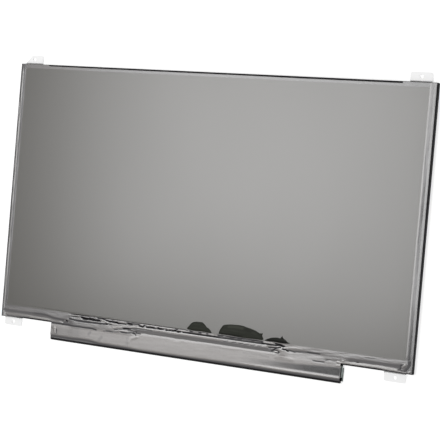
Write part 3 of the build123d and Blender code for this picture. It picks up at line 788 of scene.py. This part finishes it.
def hollow_depth(x, unrolled):
    """Long hollow in the strip's right half, deeper to the right: a slow fall and a steep rise."""
    edge = along(x, HOLLOW_EDGE)
    depth = np.zeros_like(x)
    offsets = np.linspace(-hollow_rounding, hollow_rounding, 7)
    for offset in offsets:
        place = unrolled + offset
        fall = (edge - place) / (edge - hollow_floor)
        rise = (place - hollow_end) / (hollow_floor - hollow_end)
        depth += np.clip(np.minimum(fall, rise), 0, 1) / len(offsets)
    return ease(x, *HOLLOW_GROWS) * depth


def hollow_shade(x, unrolled):
    """Painted shade on the hollow's slow side: the share of its tone taken away."""
    past_edge = ease(along(x, HOLLOW_EDGE) - unrolled, *HOLLOW_SHADE_STARTS)
    return along(x, HOLLOW_SHADE) * past_edge * (1 - ease(unrolled, *HOLLOW_SHADE_ENDS))


def border_height(x, unrolled):
    """Height of the smooth film above the board's film, from the face to the fold."""
    below = face_low[1] - unrolled
    plain = rounded_along(below - streak_drop * window(x, *LOW_STREAK), TENTED, soft_corner)
    ledge = rounded_along(below, OVER_LEDGE, soft_corner)
    wave = ledge_wave * hump(below, ledge_wave_middle, ledge_wave_width)
    ledge = ledge + wave * ease(x, *LEDGE_WAVE_GROWS)
    chips = rounded_along(below, OVER_CHIPS, crisp_corner)
    flex = rounded_along(below, OVER_FLEX, crisp_corner)
    plain = plain + (ledge - plain) * window(x, *LEDGE)
    pressed = chips + (flex - chips) * near_flex(x, chip_fade)
    height = plain + (pressed - plain) * near_chips(x) - hollow_drop * hollow_depth(x, unrolled)
    return height * (1 - ease(into_band(x, unrolled), *BAND_SINKS))


def right_dullness(unrolled):
    """How strongly the film sags in the right border, which also sets the painted shade there: most at mid
    height and near the lower end.
    """
    at_middle = hump(unrolled, 3, 34)
    at_lower_end = hump(unrolled, -76, 27)
    return np.clip(0.15 + 0.70 * at_middle + 0.85 * at_lower_end, 0, 1)


def side_height(x, unrolled, outside):
    """Ripples of the film beside and above the face."""
    above = np.maximum(unrolled - face_high[1], 0)
    right = ease(x, 0, 1)
    long_waves = field(unrolled / 21, outside / 1.6 + 40 * right, 11)
    short_waves = field(unrolled / 6, outside / 0.9 + 40 * right, 12)
    left_rise = (side_rise + 0.03 * short_waves) * ease(outside, 1.7, 2.6)
    left_rise = left_rise * (1 - ease(unrolled, *LEFT_LINE_ENDS))
    sag = right_dullness(unrolled) * np.clip((outside - 0.9) / 2.1, 0, 1) * (1 - ease(outside, 3.0, 3.7))
    right_rise = side_rise * ease(outside, 0.0, 0.4) - side_sag * sag
    beside = left_rise + (right_rise - left_rise) * right
    beside = beside + ease(outside, 0.0, edge_ramp) * (edge_lift + 0.015 * long_waves + 0.010 * short_waves)
    over = edge_lift + 0.012 * field(x / 23, above / 1.2, 21) + 0.008 * field(x / 7, above / 0.8, 22)
    return beside + ease(above, 0.0, edge_ramp) * over * (outside == 0)


def side_tone(x, unrolled, outside):
    """Tone of the film beside and above the face, with a painted highlight along each side where the film
    rises and painted shade where the right border sags.
    """
    right = ease(x, 0, 1)
    streaks = field(unrolled / 13, outside / 1.1 + 40 * right, 15)
    left_line = hump(outside, 2.2, 0.5) * (1 - ease(unrolled, *LEFT_LINE_ENDS))
    left_tone = 0.34 + 0.38 * left_line - 0.20 * ease(outside, 2.7, 3.2)
    # Painted shade where the right border sags, and a painted highlight along the face's edge
    sag = right_dullness(unrolled) * window(outside, 1.0, 1.7, 3.0, 3.6)
    right_tone = 0.50 + 0.35 * hump(outside, 0.4, 0.35) - 0.44 * sag - 0.15 * ease(outside, 3.2, 3.8)
    beside = left_tone + (right_tone - left_tone) * right + 0.10 * streaks
    return np.where(outside > 0, beside, along(x, UPPER_TONE))


def stroke(x, y, points, width):
    """How strongly each place is on a line through the points: full on it, fading past its half width."""
    nearest = np.full(x.shape, np.inf)
    ends = np.array(points, float)
    for start, end in zip(ends, ends[1:]):
        length = np.hypot(*(end - start))
        way = (end - start) / length
        reach = np.clip((x - start[0]) * way[0] + (y - start[1]) * way[1], 0, length)
        nearest = np.minimum(nearest, np.hypot(x - start[0] - reach * way[0], y - start[1] - reach * way[1]))
    return 1 - ease(nearest, 0.5 * width, 1.5 * width)


def film_shape(x, unrolled, stretch):
    """Height of the film above its flat place, its tone, and how closely it clings to the pieces below."""
    outside = np.maximum(np.maximum(face_low[0] - x, x - face_high[0]), 0)
    below = face_low[1] - unrolled
    lower = (stretch == BORDER) | (stretch == STRIP)
    chips = near_chips(x)

    wrinkles = wrinkle_height * field(x / 9 + below / 5, below / 1.5, 31)
    wrinkles = wrinkles + fine_wrinkle * field(x / 3.5, below / 0.8, 32)
    wrinkles = wrinkles * ease(below, 0.0, 1.0) * (1 - 0.85 * ease(below, 7.5, 9))
    crumple = crumple_height * field(x / 1.7 + below, below / 0.6, 53) * window(below, *CRUMPLED)
    wrinkles = wrinkles + crumple * chips * (1 - ease(x, *CRUMPLE_ENDS))
    height = border_height(x, unrolled) + wrinkles * (1 - ease(below, 16.0, 17.0))

    on_strip = ease(below, *STRIP_STARTS)
    tone = along(x, BORDER_TONE) * (1 - on_strip) + along(x, STRIP_TONE) * on_strip
    tone = tone + (0.08 - 0.05 * on_strip) * field(x / 11, below / 2.2, 33)
    patches = field(x / 3.1 + below, below / 0.7, 51) + 0.4 * field(x / 1.3, below / 0.4, 52)
    blotches = ease(patches, -0.1, 0.35) * chips * (1 - ease(x, *BLOTCHES_END)) * window(below, *BLOTCHED)
    tone = tone - blotch_shade * blotches
    cling = blotch_cling * blotches

    under = window(below, *UNDER_BLISTERS)
    first_blister = under * window(x, *UNDER_FIRST)
    second_blister = under * window(x, *UNDER_SECOND)
    tone = tone + (first_blister_tone - tone) * first_blister
    tone = tone + (second_blister_tone - tone) * second_blister
    cling = np.maximum(cling, np.maximum(first_blister, second_blister))

    tone = tone + (flex_tone - tone) * near_flex(x, 1) * window(below, *FLEX_BAND)
    tone = tone * (1 - hollow_shade(x, unrolled))

    side_lift = z_face - z_board + side_height(x, unrolled, outside)
    flap = ease(outside, *FLAP_STARTS)
    height = height + (side_lift - height) * flap * lower
    tone = tone + (side_tone(x, unrolled, outside) - tone) * flap * lower

    for fold in FOLDS_WITH_PAINTED_LIGHT:
        weight = stroke(x, unrolled, fold.points, fold.width) * lower
        tone = tone + (fold.tone - tone) * weight
        height = height + fold.lift * weight
        if fold.lift < 0:
            cling = cling + (1 - cling) * weight
        else:
            cling = cling * (1 - weight)

    # Dark band and fold: black tape seen through the film, with painted shade where the film turns over the
    # board's edge
    in_band = ease(into_band(x, unrolled), *BAND_STARTS)
    at_fold = ease(fold_line - unrolled, *FOLD_STARTS)
    tone = tone + (band_tone - tone) * in_band
    tone = tone + (fold_tone - tone) * at_fold
    cling = np.maximum(cling * (1 - in_band), at_fold)

    height = np.where(stretch <= FACE, side_lift, np.where(stretch >= TURN, 0, height))
    tone = np.where(stretch == REAR, rear_tone, tone)
    tone = np.where(stretch <= FACE, side_tone(x, unrolled, outside), tone)
    cling = np.where((stretch <= FACE) | (stretch == REAR), 0, cling)
    return np.maximum(height, 0), np.clip(tone, 0, 1), cling


def film_points(columns, rows):
    """The film's upper and lower points on its grid, with their tone and cling and the pale end's places."""
    x, y = np.meshgrid(columns, rows["y"])
    spread = np.ones_like(x)
    stretch = rows["stretch"][:, None] * spread
    height, tone, cling = film_shape(x, rows["unrolled"][:, None] * spread, stretch)
    free_end = (x > strip_right) & (x <= tongue_right) & (stretch == STRIP) & (y < end_high + strip_pitch)
    pale_end = ((x > strip_right + end_black) & free_end) | ((x > strip_right) & (stretch == REAR))
    height = height - end_droop * ease(x, strip_right, tongue_right) * free_end
    # Next to the strip the free end is black and stuck: black pieces beneath, with painted shade in the gap
    # at the strip's end
    tone = np.where(free_end, 0, tone)
    cling = np.where(free_end, 1, cling)

    x = np.where(free_end, past_strip(x, y), x)
    sag = left_corner_sag * ease(x, *LEFT_SAG_GROWS) + right_corner_sag * ease(x, *RIGHT_SAG_GROWS)
    y = y - sag * ease(face_low[1] - y, *SAG_DEEPENS) * (stretch <= STRIP)
    border_share = np.clip((x - face_high[0]) / (film_right - face_high[0]), 0, 1)
    x = x + along(y, RIGHT_SLIP) * border_share * (stretch <= BORDER)
    y = y + along(x, UPPER_SLIP) * ease(y, face_high[1], bare_line) * (stretch == UPPER)

    normal_y = rows["normal_y"][:, None] * spread
    normal_z = rows["normal_z"][:, None] * spread
    normal = np.stack([0 * x, normal_y, normal_z], axis=-1)
    upper = np.stack([x, y, rows["z"][:, None] * spread], axis=-1) + normal * height[..., None]
    return upper, upper - normal * film_sheet, tone, cling, pale_end


def cell_loops(ids, cells):
    """Loop of four points round each of the cells."""
    row, column = np.nonzero(cells)
    below, beside = row + 1, column + 1
    return np.stack([ids[row, column], ids[below, column], ids[below, beside], ids[row, beside]], axis=-1)


def rim_edges(loops):
    """Edges of the cells with no cell beyond them, each in the direction of its own cell's loop."""
    edges = set()
    for loop in loops.tolist():
        for start, end in zip(loop, loop[1:] + loop[:1]):
            if (end, start) in edges:
                edges.remove((end, start))
            else:
                edges.add((start, end))
    return sorted(edges)


def face_outline(ids, face):
    """Loop of points round the flat face."""
    face_rows = np.nonzero(face.any(axis=1))[0]
    face_columns = np.nonzero(face.any(axis=0))[0]
    top, bottom = face_rows[0], face_rows[-1] + 1
    left, right = face_columns[0], face_columns[-1] + 1
    return np.concatenate(
        [ids[top:bottom, left], ids[bottom, left:right], ids[bottom:top:-1, right], ids[top, right:left:-1]]
    )


def film_mesh():
    """The film as a thin closed shell on one grid, with the flat face as a single polygon each side."""
    rows = film_rows()
    columns = film_columns()
    filled, face = film_cells(columns, rows)
    upper, lower, tone, cling, pale_end = film_points(columns, rows)
    count = tone.size
    ids = np.arange(count).reshape(tone.shape)
    quads = cell_loops(ids, filled & ~face)
    edges = rim_edges(cell_loops(ids, filled))
    outline = face_outline(ids, face)

    faces = quads.tolist() + (quads[:, ::-1] + count).tolist()
    faces += [[end, start, start + count, end + count] for start, end in edges]
    faces += [outline.tolist(), (outline[::-1] + count).tolist()]
    used = np.unique(np.concatenate([np.array(loop) for loop in faces]))
    place = np.zeros(2 * count, int)
    place[used] = np.arange(len(used))
    points = np.concatenate([upper.reshape(-1, 3), lower.reshape(-1, 3)])[used] * MM
    faces = [place[loop].tolist() for loop in faces]

    mesh = bpy.data.meshes.new("film")
    mesh.from_pydata(points.tolist(), [], faces)
    tones = np.concatenate([tone.ravel(), tone.ravel()])[used]
    mesh.attributes.new("tone", "FLOAT", "POINT").data.foreach_set("value", tones)
    smooth = [True] * (2 * len(quads)) + [False] * (len(faces) - 2 * len(quads))
    mesh.polygons.foreach_set("use_smooth", smooth)
    for material in (film_loose(), film_face(), film_stuck(), film_end()):
        mesh.materials.append(material)
    clinging = cling.ravel()[quads].mean(axis=1) > 0.5
    on_end = pale_end.ravel()[quads].any(axis=1)
    kinds = np.where(on_end, FREE_END, np.where(clinging, STUCK, LOOSE))
    kinds = np.concatenate([kinds, kinds, np.full(len(edges), LOOSE), [FLAT, FLAT]])
    mesh.polygons.foreach_set("material_index", kinds.astype(np.int32))
    mesh.update()
    return mesh


film = add_object("film", film_mesh())
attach(film, "root")
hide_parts("protective_film")


# Dark blisters on the lower edge of the face: outlines in millimetres

BLISTERS = (
    [(-4, -79.8), (-2.4, -77.2), (-0.6, -75.3), (2, -74.5), (4.4, -74.3), (7, -74.4), (8.5, -75.3),
     (10.1, -76.8), (11.9, -77.8), (13.4, -79), (14.1, -80.2), (12.6, -80.5), (6, -80.3), (1.1, -80.5)],
    [(19.2, -79.9), (19.5, -78.4), (20.4, -76.5), (22.5, -74.1), (27.9, -73.1), (34.6, -72.8), (38, -73.3),
     (43.1, -74.3), (45.7, -75), (49.1, -76.4), (50.8, -76.1), (50.4, -77.5), (51.3, -80), (46.9, -80.4),
     (37.5, -80.6), (28.5, -80.4), (20.6, -80.3)],
    [(52.5, -80.3), (55.4, -78.5), (58.2, -77.7), (61, -77.4), (63.1, -77.5), (64.3, -76), (64.9, -77.1),
     (67, -78.4), (68.4, -79.4), (70.1, -80.1), (64.5, -80.6), (58.7, -80.4)],
)

Mark = namedtuple("Mark", "points width tone")

# Lighter and darker marks on the blisters
MARKS = [
    Mark([(-3, -80.2), (6, -80), (13, -79.6)], 0.6, 0.3),
    Mark([(1, -76.3), (5, -75.9)], 0.4, 0.55),
    Mark([(1, -78.3), (9, -78.5)], 0.35, 0.52),
    Mark([(21, -79.9), (28, -79.7), (36, -79.8)], 0.7, 0.2),
    Mark([(26, -74.7), (31, -74.3), (36, -74.5)], 0.8, 0.74),
    Mark([(23, -77.3), (30, -77), (38, -77.6)], 0.4, 0.5),
    Mark([(38.5, -74.9), (41.5, -75.9)], 0.8, 0.32),
    Mark([(43.5, -76.6), (46, -77.3)], 0.7, 0.54),
    Mark([(48.5, -77.3), (49.6, -79.4)], 0.7, 0.36),
    Mark([(54, -79.7), (60, -79.6), (67, -79.7)], 0.55, 0.04),
]

third_blister = 52.0
plain_tone = 0.42
third_shade = 0.18
mottling = 0.05
blister_height = 0.30
blister_ripple = 0.04
blister_sink = 0.04
blister_points = 6
blister_rings = 10


def rounded(outline):
    """Closed smooth curve through the outline's points."""
    points = np.array(outline)
    before, after, later = np.roll(points, 1, 0), np.roll(points, -1, 0), np.roll(points, -2, 0)
    curve = []
    for share in np.linspace(0, 1, blister_points, endpoint=False):
        slope = (after - before) * share
        bend = (2 * before - 5 * points + 4 * after - later) * share**2
        twist = (3 * points - before - 3 * after + later) * share**3
        curve.append((2 * points + slope + bend + twist) / 2)
    return np.stack(curve, axis=1).reshape(-1, 2)


def blister_tone(x, y):
    """Tone of the blisters: the third is the darkest."""
    tone = plain_tone - third_shade * ease(x, third_blister, third_blister + 1)
    tone = tone + mottling * field(x / 9, y / 0.6, 62)
    for mark in MARKS:
        tone = tone + (mark.tone - tone) * stroke(x, y, mark.points, mark.width)
    return tone


def blister_mesh(name, outline, material):
    """Low dome over an outline, closed underneath."""
    edge = rounded(outline)
    middle = edge.mean(axis=0)
    count = len(edge)
    rings = []
    for ring in range(blister_rings):
        inward = ring / blister_rings
        flat = middle + (edge - middle) * (1 - inward)
        height = blister_height * np.sqrt(1 - (1 - inward) ** 2)
        ripple = blister_ripple * ease(inward, 0.0, 0.3) * field(flat[:, 0] / 5, flat[:, 1] / 0.9, 61)
        rings.append(np.column_stack([flat, z_face + height + ripple]))
    base = np.column_stack([edge, np.full(count, z_face - blister_sink)])
    peak = [*middle, z_face + blister_height]
    points = np.concatenate([base, *rings, [peak]]) * MM
    faces = [list(range(count))[::-1]]
    for ring in range(blister_rings):
        start = ring * count
        for index in range(count):
            after = (index + 1) % count
            faces.append([start + index, start + after, start + count + after, start + count + index])
    last = blister_rings * count
    faces += [[last + index, last + (index + 1) % count, len(points) - 1] for index in range(count)]
    mesh = bpy.data.meshes.new(name)
    mesh.from_pydata(points.tolist(), [], faces)
    tones = blister_tone(points[:, 0] / MM, points[:, 1] / MM)
    mesh.attributes.new("tone", "FLOAT", "POINT").data.foreach_set("value", tones)
    mesh.polygons.foreach_set("use_smooth", [False] + [True] * (len(faces) - 1))
    mesh.materials.append(material)
    mesh.update()
    return mesh


dark = blister_dark()
for index, outline in enumerate(BLISTERS, start=1):
    name = f"blister_{index}"
    blister = add_object(name, blister_mesh(name, outline[::-1], dark))
    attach(blister, "root")


# Floor, light and camera, in metres

floor_half = 6.0
floor_drop = 5e-5
floor_glow = 0.42
ambient = 0.40


def add_floor():
    """Pale floor that keeps the object's shadow and looks white to the camera and in reflections."""
    mesh = bpy.data.meshes.new("floor")
    square = [(-1, -1), (1, -1), (1, 1), (-1, 1)]
    mesh.from_pydata([(floor_half * x, floor_half * y, -floor_drop) for x, y in square], [], [(0, 1, 2, 3)])
    material, tree, shader = new_material("floor_white")
    set_inputs(shader, {"Base Color": (0.86, 0.86, 0.86, 1), "Roughness": 0.9, "Specular IOR Level": 0.1})
    set_inputs(shader, {"Emission Color": (1, 1, 1, 1)})
    path = tree.nodes.new("ShaderNodeLightPath")
    seen = path.outputs["Is Camera Ray"]
    for ray in ("Is Glossy Ray", "Is Transmission Ray"):
        either = tree.nodes.new("ShaderNodeMath")
        either.operation = "MAXIMUM"
        tree.links.new(seen, either.inputs[0])
        tree.links.new(path.outputs[ray], either.inputs[1])
        seen = either.outputs[0]
    glow = tree.nodes.new("ShaderNodeMath")
    glow.operation = "MULTIPLY"
    glow.inputs[1].default_value = floor_glow
    tree.links.new(seen, glow.inputs[0])
    tree.links.new(glow.outputs[0], shader.inputs["Emission Strength"])
    mesh.materials.append(material)
    floor = add_object("floor", mesh)


def add_softbox(name, place, aim, width, depth, radiance):
    """Rectangular light that faces a point."""
    light = bpy.data.lights.new(name, "AREA")
    light.shape = "RECTANGLE"
    light.size = width
    light.size_y = depth
    light.energy = radiance * math.pi * width * depth
    lamp = add_object(name, light)
    lamp.location = place
    lamp.rotation_euler = (Vector(aim) - Vector(place)).to_track_quat("-Z", "Y").to_euler()


def add_world():
    """Even soft light from all round."""
    world = bpy.data.worlds.new("studio")
    world.use_nodes = True
    background = world.node_tree.nodes["Background"]
    set_inputs(background, {"Color": (1, 1, 1, 1), "Strength": ambient})
    bpy.context.scene.world = world


def add_camera():
    """Camera at the photograph's angle: its place, the floor point that it looks at, and its roll."""
    place = Vector((0.4150, 0.0185, 0.8034))
    aim = Vector((0.0115, -0.0068, 0.0))
    roll = math.radians(-4.9)
    image_pixels = 440
    focal_pixels = 1380
    data = bpy.data.cameras.new("camera")
    data.sensor_width = 36
    data.lens = data.sensor_width * focal_pixels / image_pixels
    back = (place - aim).normalized()
    side = Vector((0, 1, 0)).cross(back).normalized()
    upright = Matrix((side, back.cross(side), back)).transposed()
    camera = add_object("camera", data)
    camera.matrix_world = Matrix.Translation(place) @ upright.to_4x4() @ Matrix.Rotation(-roll, 4, "Z")
    bpy.context.scene.camera = camera


add_floor()
add_softbox("key", place=(-0.34, 0.072, 0.82), aim=(-0.34, 0.072, 0), width=0.574, depth=0.488, radiance=3.73)
add_softbox("fill", place=(0.60, -0.25, 1.10), aim=(0, 0, 0), width=0.80, depth=0.80, radiance=2.0)
add_world()
add_camera()
bpy.context.scene.view_settings.view_transform = "Standard"
